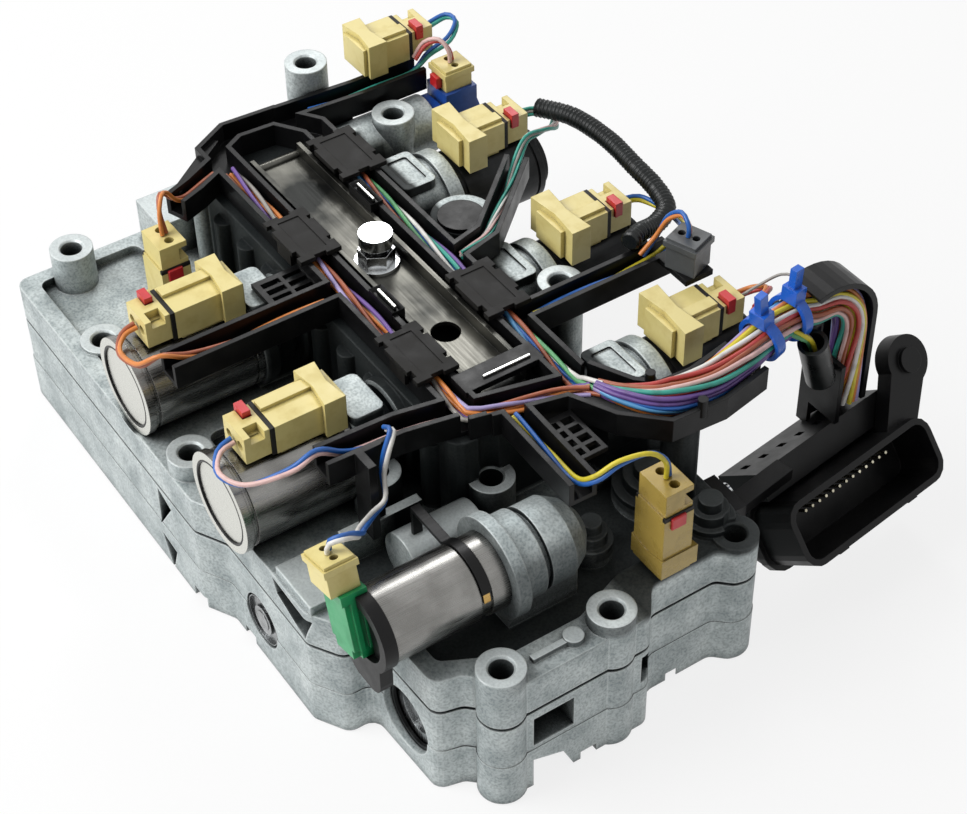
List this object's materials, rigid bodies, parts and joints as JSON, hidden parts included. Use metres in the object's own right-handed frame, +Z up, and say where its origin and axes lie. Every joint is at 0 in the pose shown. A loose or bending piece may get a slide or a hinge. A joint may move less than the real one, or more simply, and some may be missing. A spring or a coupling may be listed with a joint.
{
  "type": "transmission valve body",
  "caption": "Hydraulic valve body of an automatic transmission: two castings with spool valves, solenoids, a wiring tray and its main connector.",
  "frame": {"origin": "centre of the castings' footprint on the base face", "axes": "+X along the long side towards the end with the lock-up solenoid, +Y towards the shift solenoids and the main connector, +Z up from the base face"},
  "size_m": [0.2341, 0.2168, 0.1039],
  "materials": {
    "cast_aluminium": "satin",
    "steel": "satin",
    "plate_steel": "matt",
    "bright_steel": "satin",
    "zinc": "gloss",
    "black_steel": "satin",
    "cream_plastic": "matt",
    "black_plastic": "matt",
    "green_plastic": "satin",
    "blue_plastic": "satin",
    "red_plastic": "satin",
    "grey_plastic": "matt",
    "wire_sheath": "satin",
    "conduit_plastic": "satin",
    "pin_brass": "satin"
  },
  "bodies": {
    "valve_block": {"upper_body": "cast_aluminium", "separator_plate": "plate_steel", "lower_body": "cast_aluminium", "casting_bolts": "steel", "check_balls": "bright_steel", "regulator_spring": "steel", "regulator_plug": "bright_steel", "shift_spring_1": "steel", "shift_plug_1": "bright_steel", "shift_spring_2": "steel", "shift_plug_2": "bright_steel", "plug_pins": "steel", "accumulator_spring": "steel", "accumulator_ring": "black_steel", "pressure_solenoid_1": "bright_steel", "pressure_solenoid_2": "bright_steel", "lockup_solenoid": "bright_steel", "lockup_end_ring": "black_plastic", "lockup_terminal": "green_plastic", "solenoid_strap": "black_steel", "shift_solenoid_1": "black_steel", "shift_solenoid_2": "black_steel", "shift_solenoid_3": "black_steel", "blue_sensor": "blue_plastic", "front_plug_1": "cream_plastic", "front_plug_2": "cream_plastic", "lockup_plug": "cream_plastic", "end_plug": "cream_plastic", "corner_plug": "cream_plastic", "rear_plug_1": "cream_plastic", "rear_plug_2": "cream_plastic", "rear_plug_3": "cream_plastic", "top_plug": "cream_plastic", "sensor_plug": "cream_plastic", "grey_plug": "grey_plastic", "plug_locks": "red_plastic", "harness_tray": "black_plastic", "duct_cover_1": "black_plastic", "duct_cover_2": "black_plastic", "duct_cover_3": "black_plastic", "duct_cover_4": "black_plastic", "centre_channel": "bright_steel", "channel_bolt": "zinc", "conduit": "conduit_plastic", "tray_wires": "wire_sheath", "solenoid_leads": "wire_sheath", "main_bundle": "wire_sheath", "cable_ties": "blue_plastic", "bundle_sleeve": "conduit_plastic", "main_connector": "black_plastic", "connector_pins": "pin_brass", "connector_bracket": "black_plastic", "bracket_screw": "steel"},
    "regulator_valve": {"regulator_spool": "bright_steel"},
    "shift_valve_1": {"shift_spool_1": "bright_steel"},
    "shift_valve_2": {"shift_spool_2": "bright_steel"},
    "accumulator": {"accumulator_piston": "bright_steel"}
  },
  "joints": [
    {"name": "regulator_slide", "type": "slide", "parent": "valve_block", "child": "regulator_valve", "axis": [0, -1, 0], "range_m": [0, 0.006], "stiffness_N_per_m": 1500, "deforming": ["regulator_spring"]},
    {"name": "shift_slide_1", "type": "slide", "parent": "valve_block", "child": "shift_valve_1", "axis": [0, 1, 0], "range_m": [0, 0.006], "stiffness_N_per_m": 1500, "deforming": ["shift_spring_1"]},
    {"name": "shift_slide_2", "type": "slide", "parent": "valve_block", "child": "shift_valve_2", "axis": [0, 1, 0], "range_m": [0, 0.006], "stiffness_N_per_m": 1500, "deforming": ["shift_spring_2"]},
    {"name": "accumulator_slide", "type": "slide", "parent": "valve_block", "child": "accumulator", "axis": [0, 1, 0], "range_m": [0, 0.008], "stiffness_N_per_m": 3000, "deforming": ["accumulator_spring"]}
  ]
}
